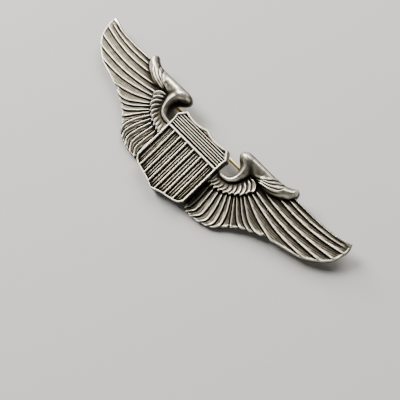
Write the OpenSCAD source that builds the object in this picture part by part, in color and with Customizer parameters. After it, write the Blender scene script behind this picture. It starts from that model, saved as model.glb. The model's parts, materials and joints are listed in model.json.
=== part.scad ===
// Pilot wings pin: two feathered wings, a soldered-on shield, and a brass pin with a locking catch on the back.
// The badge is drawn in its own plane (X along the span, Y up the shield, Z out of its face) and then laid
// down on its back, where it rests on the lower edges of the wings, the hinge and the catch.

/* [Wings] */
// Span from wing tip to wing tip
wingspan = 77.2; // [75:0.1:80]
// Thickness of the wing plate under the feathers
wing_t = 1.1; // [0.9:0.05:1.4]
// How far the wing tips sweep back behind the middle
tip_sweep = 1.75; // [0.8:0.05:3]
// Height of the feather rims above the wing plate
rim_h = 0.35; // [0.2:0.05:0.5]
// Width of a feather rim
rim_w = 0.5; // [0.35:0.05:0.6]
// Height of the small covert feathers
covert_h = 0.6; // [0.5:0.05:0.9]
// Height of the shoulder feathers along the top edge
shoulder_h = 1.0; // [0.9:0.05:1.3]
// Height of the hooked ridge at the wing's root
hook_h = 1.7; // [1.4:0.05:2]
// Width of the hooked ridge
hook_w = 1.1; // [0.9:0.05:1.3]
// Radius of the rounded knob at the top of the hook
knob_r = 1.55; // [1.4:0.05:1.6]

/* [Shield] */
// Half the shield's width
shield_half_w = 7.6; // [7.3:0.05:7.8]
// Height of the shield's rim above the wing plate
shield_h = 2.3; // [1.8:0.05:2.6]
// Width of the shield's raised rim
shield_rim = 0.55; // [0.4:0.05:0.7]
// Depth of the fields inside the rim
field_depth = 0.6; // [0.3:0.05:0.8]
// Number of fine lines across the chief
chief_lines = 6; // [4:1:7]
// Number of upright bays in the lower field
bays = 7; // [5:2:9]

/* [Pin and hinge] */
// Diameter of the pin's wire
stem_d = 0.9; // [0.8:0.05:1]
// Distance of the pin's axis behind the wing plate's front
stem_drop = 3.6; // [3.5:0.05:4]
// Height of the pin up the badge
stem_y = 6.8; // [6:0.1:7]
// Distance of the hinge and of the catch from the middle
fitting_x = 14; // [13:0.1:15]
// Length of the pin's point beyond the middle of the catch
point_reach = 3.6; // [3.3:0.1:4.5]
// Diameter of the hinge rivet
rivet_d = 0.8; // [0.7:0.05:0.9]
// Thickness of the bracket's ears
ear_t = 0.4; // [0.3:0.05:0.5]
// Side play between the pin's eye and each ear
ear_gap = 0.1; // [0.08:0.01:0.15]

/* [Catch] */
// Outer radius of the catch housing
housing_r = 1.65; // [1.6:0.05:1.8]
// Length of the catch housing
housing_l = 2.6; // [2.2:0.1:3]
// Thickness of the housing's wall
housing_wall = 0.5; // [0.4:0.05:0.55]
// Width of the housing's mouth
mouth_w = 1.4; // [1.3:0.05:1.5]
// Running clearance between the roller and its housing
roller_gap = 0.06; // [0.04:0.01:0.1]
// Reach of the thumb tab from the roller's axis
tab_reach = 2.7; // [2.4:0.1:3]

/* [Hidden] */
$fn = 48;

silver = [0.62, 0.60, 0.55];
silver_shield = [0.68, 0.66, 0.61];
brass = [0.80, 0.64, 0.30];
steel = [0.70, 0.70, 0.72];

// The plan of the wings and shield is drawn for a standard three-inch badge and grows with the span.
standard_span = 77.2;
plan_scale = wingspan / standard_span;
half_span = wingspan / 2;
// The wing plate is a slice of a large tube whose axis runs along Y behind the badge.
bend_r = (half_span * half_span + tip_sweep * tip_sweep) / (2 * tip_sweep);
bend_fn = 720;
tall = 12;

// Shield: it sits on two flat tongues that the wing roots push underneath it.
seat_z = -0.2;
tongue_y = [-7.2, 2.4];
side_play = 0.04;
ear_flare = 0.3;
chief_y = [2.35, 2.95];
shield_point_y = -10;
ridge_w = 0.32;
fine_w = 0.16;

// Hinge and catch
patch_t = 0.35;
patch_r = 2.4;
pad_r = 2.6;
pad_back = wing_t + bend_drop(fitting_x + pad_r);
patch_back = pad_back + patch_t;
eye_t = stem_d;
eye_r = 1.15;
ear_in = eye_t / 2 + ear_gap;
ear_out = ear_in + ear_t;
rivet_head_t = 0.3;
rivet_head_r = rivet_d / 2 + 0.3;
bracket_base_t = 0.35;
pivot_gap = 0.05;
neck_d = stem_d - 0.1;
neck_l = 2.3;
neck_cone = 0.6;
point_l = 5.4;
point_end_d = 0.16;
roller_r = housing_r - housing_wall - roller_gap;
roller_bore_r = 0.62;
roller_slot = 1.06;
flange_r = roller_r + 0.32;
flange_t = 0.4;
collar_t = 0.6;
end_play = 0.08;
tab_w = 1.1;
tab_angle = 20;

// Resting pose: the badge stands on the wings' lower edges and on the catch housing, and the hinge's ears are
// just long enough to touch the same surface.
heel = [10.2, -8.05] * plan_scale;
heel_z = -wing_t - bend_drop(heel[0]);
prop_y = stem_y - heel[1];
prop_z = -stem_drop - heel_z;
rest_tilt = asin(housing_r / norm([prop_y, prop_z])) - atan2(prop_z, prop_y);
ground = stem_y * sin(rest_tilt) - stem_drop * cos(rest_tilt) - housing_r;
ear_r = (stem_y - ear_out) * tan(rest_tilt) - ground / cos(rest_tilt) - stem_drop;
// Shift that puts the middle of the whole badge's depth over the origin
shield_front_y = shield_point_y * plan_scale * cos(rest_tilt) - shield_h * sin(rest_tilt);
tip_corner = [38.1, 11.75] * plan_scale;
wing_back_y = tip_corner[1] * cos(rest_tilt) + (wing_t + bend_drop(tip_corner[0])) * sin(rest_tilt);
middle_y = (shield_front_y + wing_back_y) / 2;

// How far a plate bent round the large tube has dropped behind the middle at x
function bend_drop(x) = bend_r - sqrt(bend_r * bend_r - x * x);

// ---- curves: each is a smooth line through a few points ----
function blend_point(a, b, c, d, t) =
    0.5 * (2 * b + (c - a) * t + (2 * a - 5 * b + 4 * c - d) * t * t + (3 * b - a - 3 * c + d) * t * t * t);

// Point list of a smooth curve through all the points, with a number of steps between neighbours
function smooth(p, steps = 3) =
    let (n = len(p) - 1)
    concat(
        [for (i = [0 : n - 1], s = [0 : steps - 1])
            blend_point(p[max(i - 1, 0)], p[i], p[i + 1], p[min(i + 2, n)], s / steps)],
        [p[n]]);

function reversed(p) = [for (i = [len(p) - 1 : -1 : 0]) p[i]];

function heading(p, i) =
    let (d = p[min(i + 1, len(p) - 1)] - p[max(i - 1, 0)])
    d / norm(d);

// The curve moved sideways, to the left of its own direction
function beside(p, distance) =
    [for (i = [0 : len(p) - 1]) let (h = heading(p, i)) p[i] + distance * [-h[1], h[0]]];

// ---- plan of one wing (the right one) ----
top_edge = smooth([[9.5, 10.2], [12, 10.15], [15, 10.15], [18, 10.2], [20, 10.5], [21.5, 11.25], [22.4, 11.95]]);
covert_step = smooth([[22.4, 11.95], [23.1, 11.7], [23.5, 10.9], [23.4, 10.3]]);
leading_edge = smooth([[23.4, 10.3], [26, 10.3], [30, 10.35], [33, 10.5], [35, 10.85], [38.1, 11.75]]);
tip_edge = [[38.45, 10.9], [38.6, 10], [38.55, 9.3], [38.35, 8.6], [38.1, 7.4], [37.8, 6.6], [37.0, 5.5],
            [36, 4.5], [34.8, 3.6], [33.2, 2.55], [31, 1.55], [28.5, 0.8], [25.5, 0.4], [24.1, 0.25]];
trailing_edge = [[23.5, -0.45], [21.9, -1.15], [21.2, -1.5], [19.8, -2.2], [18.5, -3.3], [17.2, -4.4],
                 [16.2, -5.5], [15.0, -6.6], [13.6, -7.25], [12.2, -7.7], [10.2, -8.05], [8.4, -8.0]];
root_edge = smooth([[8.3, 3.35], [9.3, 3.45], [10.1, 3.9], [10.55, 4.6], [10.7, 5.4], [10.5, 6.3], [9.9, 7.1],
                    [9.1, 7.75], [8.45, 8.4], [8.2, 9.1], [8.4, 9.8], [8.9, 10.1]], 2);
// The wing meets the shield's side along a straight seam.
seam_x = shield_half_w / plan_scale + side_play;
wing_plan = concat(top_edge, covert_step, leading_edge, tip_edge, trailing_edge, [[seam_x, -7.2], [seam_x, 3.1]],
                   root_edge);

// Grooves between the long flight feathers, each from the coverts to the wing tip
primary_grooves = [
    [[23.3, 9.7], [27, 9.65], [31, 9.75], [35, 10.1], [38.7, 10.9]],
    [[22.9, 8.7], [27, 8.5], [30, 8.6], [34, 9.05], [38.9, 10.1]],
    [[21.1, 7.5], [25, 7.2], [29, 7.2], [34, 7.75], [38.9, 8.8]],
    [[18.6, 6.2], [22, 5.7], [27, 5.4], [33, 5.75], [38.4, 6.5]],
    [[17, 5], [21, 4.3], [26, 3.85], [31, 3.9], [36.6, 4.3]],
    [[16.6, 4.1], [20, 3.2], [25, 2.3], [29, 2.15], [33.4, 2.3]],
    [[16.1, 3.2], [18, 2.3], [20, 1.5], [22, 0.9], [24.3, 0.4]]];

// Rims of the shorter feathers that fan round to the wing's root
secondary_rims = [
    [[16.1, 2.4], [18, 1.1], [20, -0.1], [22, -0.6], [23.6, -0.3]],
    [[16, 1.5], [18, -0.1], [19.8, -1.1], [21.4, -1.4]],
    [[15.2, 0.9], [17, -0.8], [18.6, -2], [19.6, -2.2]],
    [[15, 0], [16.2, -1.6], [17.4, -3], [18, -3.6]],
    [[14.1, 0], [15.2, -1.8], [16.1, -3.7], [16.4, -5.2]],
    [[13.2, -0.6], [14.2, -2.4], [14.9, -4.4], [15, -6.5]],
    [[12.3, -1], [13.1, -3], [13.6, -5.4], [13.3, -7.2]],
    [[11.1, -1.2], [11.7, -3.6], [11.9, -6], [11.4, -7.8]],
    [[9.8, -1.4], [10.2, -4], [10.2, -6.2], [9.7, -8]],
    [[8.7, -1.4], [8.8, -4], [8.6, -7.8]]];

// Outer edge of the band of small coverts, and the hooked ridge that they grow from
covert_edge = smooth([[8.3, -0.5], [9.8, -0.3], [11.5, 0.3], [13, 1.1], [14.2, 2.1], [15, 3.1], [15.5, 4.3],
                      [15.7, 5.4], [15.5, 6.4]], 2);
covert_r = 0.75;
hook_line = smooth([[8.3, 2.85], [9.7, 2.85], [10.8, 3.3], [11.6, 4.2], [11.9, 5.3], [11.7, 6.5], [11, 7.5],
                    [10.4, 8.3]], 3);
knob_at = [10.1, 8.7];
arm_line = smooth([[10.2, 9.6], [13, 9.55], [15.5, 9.5], [18, 9.55]], 3);
arm_w = 1.05;

// Shoulder feathers between the arm and the covert tip
shoulder_plan = concat(
    smooth([[13.2, 7.4], [15, 7], [17, 6.85], [18.5, 6.9], [20, 7.4], [21.5, 8.3], [22.7, 9.1], [23.4, 10.3]], 3),
    [[23.5, 10.9], [23.1, 11.7], [22.4, 11.95], [21.5, 11.25], [20, 10.5], [18, 10.2], [15, 10.15], [13, 9.9]]);
shoulder_rims = [
    [[14, 7.6], [16, 8.5], [17.4, 9.8]],
    [[16, 7.3], [18, 8.3], [19.4, 9.9]],
    [[18.4, 7.2], [20.2, 8.6], [21.2, 10.4]]];

// ---- building blocks ----
// Lays the finished badge down in its resting pose
module laid_down() {
    translate([0, -middle_y, -ground]) rotate([rest_tilt, 0, 0]) children();
}

// Everything inside a tube that runs along Y behind the badge; z is the height of its wall over the plate's front
module tube_at(z) {
    translate([0, 0, -bend_r]) rotate([90, 0, 0])
        cylinder(h = 80, r = bend_r + z, center = true, $fn = bend_fn);
}

// A slice of the bent plate between two heights, cut out with the plan given as a 2D child.
// The slices share the plate's axis, so that one lies exactly on the next.
module bent_layer(low, high) {
    difference() {
        intersection() {
            translate([0, 0, -tall / 2]) linear_extrude(tall) children();
            tube_at(high);
        }
        tube_at(low);
    }
}

module plan(points) {
    polygon(points * plan_scale);
}

// A band of even width along a curve, on both sides of it
module band(curve, width) {
    plan(concat(beside(curve, width / 2), reversed(beside(curve, -width / 2))));
}

// A band that lies against the left side of a curve
module band_beside(curve, width) {
    plan(concat(curve, reversed(beside(curve, width))));
}

// ---- wings ----
module feather_rims() {
    intersection() {
        plan(wing_plan);
        union() {
            for (groove = primary_grooves) band_beside(smooth(groove, 2), rim_w);
            for (rim = secondary_rims) band(smooth(rim, 2), rim_w);
        }
    }
}

module covert_scallops() {
    intersection() {
        plan(wing_plan);
        union() {
            plan(concat(covert_edge, [[13.4, 6.9], [12.5, 7.2], [12.6, 5.4], [11.6, 3.4], [10, 2.2], [8.3, 2.4]]));
            for (i = [0 : 2 : len(covert_edge) - 1]) translate(covert_edge[i] * plan_scale) circle(covert_r);
        }
    }
}

module wing() {
    bent_layer(-wing_t, 0) plan(wing_plan);
    bent_layer(-wing_t, rim_h) feather_rims();
    bent_layer(-wing_t, covert_h) covert_scallops();
    bent_layer(-wing_t, shoulder_h) plan(shoulder_plan);
    bent_layer(-wing_t, shoulder_h + rim_h)
        for (rim = shoulder_rims) band(smooth(rim), rim_w);
    bent_layer(-wing_t, hook_h) {
        band(hook_line, hook_w);
        band(arm_line, arm_w);
        translate(knob_at * plan_scale) circle(knob_r);
    }
    translate([knob_at[0] * plan_scale, knob_at[1] * plan_scale, hook_h - knob_r * 0.6]) sphere(knob_r);
    tongue();
    solder_pad();
}

// Flat round pad on the wing's back, which the hinge or the catch is soldered to
module solder_pad() {
    translate([fitting_x, stem_y, -pad_back]) cylinder(h = pad_back - wing_t / 2, r = pad_r);
}

// Flat tongue of the wing root that carries one half of the shield
module tongue() {
    difference() {
        translate([0, tongue_y[0], -tall / 2])
            cube([shield_half_w + 1, tongue_y[1] - tongue_y[0], tall / 2 + seat_z]);
        tube_at(-wing_t);
    }
}

module right_wing() {
    color(silver) laid_down() wing();
}

module left_wing() {
    color(silver) laid_down() mirror([1, 0, 0]) wing();
}

// ---- shield ----
// Half of the shield's edge, from the middle of the top down to the point; inset draws it smaller
function shield_side(inset) =
    let (w = shield_half_w - side_play - inset)
    let (ear_w = shield_half_w + ear_flare)
    concat(
        smooth([[0, 7.6 - inset], [1.6, 7.15 - inset], [3.3, 6.95 - inset], [5, 7.1 - inset],
                [6.4 - inset * 0.6, 7.45 - inset]], 3),
        smooth([[ear_w - inset, 5.6 - inset * 0.6], [w + 0.05, 4.6], [w, 3]], 3),
        smooth([[w, 2.3], [w, -6.3], [w - 0.2, -7.1 + inset * 0.4], [w - 0.75, -7.8 + inset * 0.6],
                [w - 1.6, -8.25 + inset * 0.8]], 3),
        smooth([[w - 1.6, -8.25 + inset * 0.8], [4.2, -8.7 + inset], [2.2, -9.15 + inset], [0.9, -9.65 + inset],
                [0, shield_point_y + inset]], 3));

module shield_plan(inset = 0) {
    side = shield_side(inset);
    plan(concat(side, [for (p = reversed(side)) [-p[0], p[1]]]));
}

module shield_fields() {
    difference() {
        shield_plan(shield_rim);
        translate([-tall, chief_y[0] * plan_scale]) square([2 * tall, (chief_y[1] - chief_y[0]) * plan_scale]);
    }
}

// Fine lines across the chief, evenly spaced between the bar and the rim
module chief_ridges() {
    pitch = (6.75 - chief_y[1]) / (chief_lines + 1);
    for (i = [1 : chief_lines])
        translate([-tall, (chief_y[1] + i * pitch) * plan_scale - fine_w / 2]) square([2 * tall, fine_w]);
}

// Broad ridges between the bays, with two thin ones inside each bay
module upright_ridges() {
    pitch = 2 * (shield_half_w - shield_rim) / bays;
    for (i = [0 : bays - 1]) {
        middle = (i - (bays - 1) / 2) * pitch;
        for (side = [-1, 1]) upright(middle + side * pitch / 7, fine_w);
        if (i > 0) upright(middle - pitch / 2, ridge_w);
    }
}

module upright(x, width) {
    translate([x * plan_scale - width / 2, -tall]) square([width, tall + chief_y[0] * plan_scale]);
}

module shield() {
    color(silver_shield) laid_down() translate([0, 0, seat_z]) {
        difference() {
            linear_extrude(shield_h - seat_z) shield_plan();
            translate([0, 0, shield_h - seat_z - field_depth]) linear_extrude(field_depth + 1) shield_fields();
        }
        linear_extrude(shield_h - seat_z - field_depth / 3) intersection() {
            shield_plan(shield_rim / 2);
            union() {
                chief_ridges();
                upright_ridges();
            }
        }
    }
}

// ---- hinge ----
// Round patch soldered to the flat pad on the back of the wing at x
module patch(x) {
    translate([x, stem_y, -patch_back]) cylinder(h = patch_t, r = patch_r);
}

module hinge_patch() {
    color(brass) laid_down() patch(fitting_x);
}

module ear_plan() {
    circle(ear_r);
    translate([-ear_r, 0]) square([2 * ear_r, stem_drop - patch_back]);
}

// One ear: a plate with a round end, pierced for the rivet
module ear() {
    rotate([90, 0, 0]) translate([0, 0, -ear_t / 2]) linear_extrude(ear_t) difference() {
        ear_plan();
        circle(rivet_d / 2);
    }
}

module hinge_bracket() {
    color(brass) laid_down() translate([fitting_x, stem_y, -stem_drop]) {
        for (side = [-1, 1]) translate([0, side * (ear_in + ear_t / 2), 0]) ear();
        translate([-ear_r, -ear_out, stem_drop - patch_back - bracket_base_t])
            cube([2 * ear_r, 2 * ear_out, bracket_base_t]);
    }
}

module hinge_rivet() {
    color(steel) laid_down() translate([fitting_x, stem_y, -stem_drop]) rotate([90, 0, 0]) {
        cylinder(h = 2 * ear_out, d = rivet_d, center = true);
        for (side = [-1, 1]) translate([0, 0, side * (ear_out + rivet_head_t / 2)])
            cylinder(h = rivet_head_t, r = rivet_head_r, center = true);
    }
}

// ---- pin ----
// Brass wire from the eye on the rivet, through the catch, to a long point
module pin_stem() {
    wire_start = neck_l + neck_cone;
    wire_l = 2 * fitting_x + point_reach - point_l - wire_start;
    color(brass) laid_down() translate([fitting_x, stem_y, -stem_drop]) difference() {
        union() {
            rotate([90, 0, 0]) cylinder(h = eye_t, r = eye_r, center = true);
            rotate([0, -90, 0]) {
                cylinder(h = neck_l, d = neck_d);
                translate([0, 0, neck_l]) cylinder(h = neck_cone, d1 = neck_d, d2 = stem_d);
                translate([0, 0, wire_start]) cylinder(h = wire_l, d = stem_d);
                translate([0, 0, wire_start + wire_l]) cylinder(h = point_l, d1 = stem_d, d2 = point_end_d);
            }
        }
        rotate([90, 0, 0]) cylinder(h = 2 * eye_t, r = rivet_d / 2 + pivot_gap, center = true);
    }
}

// ---- catch ----
module catch_patch() {
    color(brass) laid_down() patch(-fitting_x);
}

// Slot from the axis out of the mouth side, along the whole length of a part lying on the X axis
module mouth(width, length) {
    translate([-length / 2, -width / 2, -2 * housing_r]) cube([length, width, 2 * housing_r]);
}

module catch_housing() {
    bore_r = housing_r - housing_wall;
    foot_w = housing_r * 1.4;
    color(brass) laid_down() translate([-fitting_x, stem_y, -stem_drop]) difference() {
        union() {
            rotate([0, 90, 0]) cylinder(h = housing_l, r = housing_r, center = true);
            translate([-housing_l / 2, -foot_w / 2, 0]) cube([housing_l, foot_w, stem_drop - patch_back]);
        }
        rotate([0, 90, 0]) cylinder(h = 2 * housing_l, r = bore_r, center = true);
        mouth(mouth_w, 2 * housing_l);
    }
}

// Slotted sleeve that turns inside the housing, held by a flange at one end and a collar with a thumb tab
module catch_roller() {
    sleeve_l = housing_l + 2 * end_play;
    color(steel) laid_down() translate([-fitting_x, stem_y, -stem_drop]) difference() {
        union() {
            rotate([0, 90, 0]) cylinder(h = sleeve_l, r = roller_r, center = true);
            translate([sleeve_l / 2, 0, 0]) rotate([0, 90, 0]) cylinder(h = flange_t, r = flange_r);
            translate([-sleeve_l / 2 - collar_t, 0, 0]) {
                rotate([0, 90, 0]) cylinder(h = collar_t, r = flange_r);
                rotate([-tab_angle, 0, 0]) thumb_tab();
            }
        }
        rotate([0, 90, 0]) cylinder(h = 3 * housing_l, r = roller_bore_r, center = true);
        mouth(roller_slot, 3 * housing_l);
    }
}

module thumb_tab() {
    translate([0, 0, -tab_w / 2]) cube([collar_t, tab_reach - tab_w / 2, tab_w]);
    translate([0, tab_reach - tab_w / 2, 0]) rotate([0, 90, 0]) cylinder(h = collar_t, d = tab_w);
}

left_wing();
right_wing();
shield();
hinge_patch();
hinge_bracket();
hinge_rivet();
pin_stem();
catch_patch();
catch_housing();
catch_roller();
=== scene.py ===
"""Pilot wings pin: the looks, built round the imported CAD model.

The wings and the shield are struck reliefs. Each is a fine grid cut to its outline and raised by a
height function, which is written in the badge's own plane in millimetres: x along the span, y up the
shield and z out of the face. The hinge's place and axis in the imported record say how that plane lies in
the row frame.
"""

import json
import math

import bpy
import bmesh
import numpy as np
from mathutils import Matrix, Vector


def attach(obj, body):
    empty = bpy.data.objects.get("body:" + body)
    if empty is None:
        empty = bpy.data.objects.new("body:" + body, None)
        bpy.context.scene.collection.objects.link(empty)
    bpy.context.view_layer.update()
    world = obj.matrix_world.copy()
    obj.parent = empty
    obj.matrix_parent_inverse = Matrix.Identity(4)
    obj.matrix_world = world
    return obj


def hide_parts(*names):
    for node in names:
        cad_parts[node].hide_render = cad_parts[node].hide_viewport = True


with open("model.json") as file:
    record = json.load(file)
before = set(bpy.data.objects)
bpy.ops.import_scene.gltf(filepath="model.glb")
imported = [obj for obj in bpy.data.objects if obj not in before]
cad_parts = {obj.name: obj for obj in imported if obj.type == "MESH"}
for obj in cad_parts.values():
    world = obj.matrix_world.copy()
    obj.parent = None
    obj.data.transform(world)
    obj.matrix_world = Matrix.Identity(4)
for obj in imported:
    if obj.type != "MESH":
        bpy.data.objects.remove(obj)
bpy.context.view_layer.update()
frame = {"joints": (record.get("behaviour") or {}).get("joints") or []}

MM = 0.001
TINY = 1e-9

# ---------------------------------------------------------------- the badge's plane in the row frame
HINGE_IN_BADGE = Vector((14.0, 6.8, -3.6))
WING_T = 1.1
TIP_SWEEP = 1.75
HALF_SPAN = 38.6
BEND_R = (HALF_SPAN ** 2 + TIP_SWEEP ** 2) / (2 * TIP_SWEEP)


def joint_named(name):
    return next(joint for joint in frame["joints"] if joint["name"] == name)


def badge_matrix():
    """Matrix from the badge's own millimetres to the row frame's metres."""
    hinge = joint_named("pin_stem_swing")
    _, axis_y, axis_z = hinge["axis"]
    lean = Matrix.Rotation(math.atan2(-axis_z, -axis_y), 4, "X")
    at_hinge = Matrix.Translation(Vector(hinge["pos_m"]))
    return at_hinge @ lean @ Matrix.Scale(MM, 4) @ Matrix.Translation(-HINGE_IN_BADGE)


BADGE = badge_matrix()


def bend_drop(x):
    """How far the bent wing plate has dropped behind the middle of the badge at x."""
    return BEND_R - np.sqrt(BEND_R ** 2 - x ** 2)


# ---------------------------------------------------------------- curves and distances in the plane
STEPS = 6    # points for each span of a smooth curve


def smooth(points, steps=STEPS):
    """A dense Catmull-Rom curve through a few points."""
    knots = np.array(points, float)
    ends = np.vstack([knots[:1], knots, knots[-1:]])
    t = np.linspace(0, 1, steps, endpoint=False)[:, None]
    parts = []
    for a, b, c, d in zip(ends, ends[1:], ends[2:], ends[3:]):
        parts.append(0.5 * (2 * b + (c - a) * t + (2 * a - 5 * b + 4 * c - d) * t ** 2
                            + (3 * b - a - 3 * c + d) * t ** 3))
    return np.vstack(parts + [knots[-1:]])


def extended(curve, before, after):
    """The curve with a straight run added at each end."""
    start = curve[0] - curve[1]
    end = curve[-1] - curve[-2]
    first = curve[:1] + before * start / np.linalg.norm(start)
    last = curve[-1:] + after * end / np.linalg.norm(end)
    return np.vstack([first, curve, last])


def unit(way):
    return way / np.linalg.norm(way)


def right_of(way):
    return np.array([way[1], -way[0]])


def cross(offsets, way):
    """Cross product of each offset with one direction, positive on the direction's right-hand side."""
    return offsets[:, 0] * way[1] - offsets[:, 1] * way[0]


def along(points, curve):
    """Each point's distance to the curve, its side (+1 right of the curve) and how far along it is."""
    best = np.full(len(points), np.inf)
    side = np.zeros(len(points))
    place = np.zeros(len(points))
    run = 0.0
    for start, end in zip(curve, curve[1:]):
        way = end - start
        length = math.hypot(way[0], way[1])
        if length < TINY:
            continue
        offsets = points - start
        share = np.clip((offsets @ way) / length ** 2, 0, 1)
        away = offsets - share[:, None] * way
        distance = np.hypot(away[:, 0], away[:, 1])
        nearer = distance < best
        best[nearer] = distance[nearer]
        side[nearer] = np.where(cross(offsets, way)[nearer] > 0, 1.0, -1.0)
        place[nearer] = run + share[nearer] * length
        run += length
    return best, side, place


def signed(points, curve):
    """Distance to the curve, positive on its right-hand side, and how far along it."""
    distance, side, place = along(points, curve)
    return distance * side, place


def inside(points, polygon):
    """Even-odd test of many points against a closed polygon."""
    x, y = points[:, 0], points[:, 1]
    result = np.zeros(len(points), bool)
    for (x0, y0), (x1, y1) in zip(polygon, np.roll(polygon, -1, axis=0)):
        if y0 == y1:
            continue
        crosses = ((y0 > y) != (y1 > y)) & (x < (x1 - x0) * (y - y0) / (y1 - y0) + x0)
        result ^= crosses
    return result


def depth_inside(points, polygon):
    """Distance to a closed polygon's edge, positive inside."""
    closed = np.vstack([polygon, polygon[:1]])
    distance, _, _ = along(points, closed)
    return np.where(inside(points, polygon), distance, -distance)


# ---------------------------------------------------------------- forms that the reliefs are made of
def bump_at(value, middle, width):
    """Bell curve of height 1."""
    return np.exp(-((value - middle) / width) ** 2)


def ramp(value, low, high):
    """Smooth step from 0 at low to 1 at high."""
    t = np.clip((value - low) / (high - low), 0, 1)
    return t * t * (3 - 2 * t)


def soft_max(a, b, blend):
    """The larger of the two, with the crease between them filled over about the blend's height."""
    share = np.clip(0.5 + 0.5 * (a - b) / blend, 0, 1)
    return a * share + b * (1 - share) + blend * share * (1 - share)


def rounded(share):
    """Quarter circle: 0 at share 0 and 1 at share 1."""
    return np.sqrt(np.clip(1 - (1 - np.clip(share, 0, 1)) ** 2, 0, 1))


def swelling(share, foot=0.0):
    """Quarter of a sine wave: foot at share 0 and 1 at share 1."""
    return foot + (1 - foot) * np.sin(np.clip(share, 0, 1) * math.pi / 2)


def height_along(place, table):
    """Value at each place along a line, from (place, value) pairs."""
    return np.interp(place, [row[0] for row in table], [row[1] for row in table])


# ---------------------------------------------------------------- averages over a lattice of heights
def padded(field, axis, before, after):
    """The field with its edge values repeated before and after it along one axis."""
    widths = [(0, 0), (0, 0)]
    widths[axis] = (before, after)
    return np.pad(field, widths, mode="edge")


def box_blur(field, radius):
    """Mean over a square window."""
    size = 2 * radius + 1
    for axis in (0, 1):
        total = np.cumsum(padded(field, axis, radius + 1, radius), axis=axis)
        take = np.arange(field.shape[axis])
        field = (np.take(total, take + size, axis) - np.take(total, take, axis)) / size
    return field


def softened(field):
    """Each value averaged with its neighbours, 1:2:1 in both directions, so fine edges aren't stepped."""
    for axis in (0, 1):
        wide = padded(field, axis, 1, 1)
        take = np.arange(field.shape[axis])
        field = (np.take(wide, take, axis) + 2 * np.take(wide, take + 1, axis)
                 + np.take(wide, take + 2, axis)) / 4
    return field


# ---------------------------------------------------------------- a relief plate from outline and heights
RIM_OVERHANG = 0.45    # a cell is kept if no corner lies further outside than this share of the pitch
NUDGE = 0.01           # step for measuring how the depth changes
GENTLEST = 0.3         # least squared steepness of the depth that a pull counts on
PULL_ROUNDS = 3
RELAX_ROUNDS = 3


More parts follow.
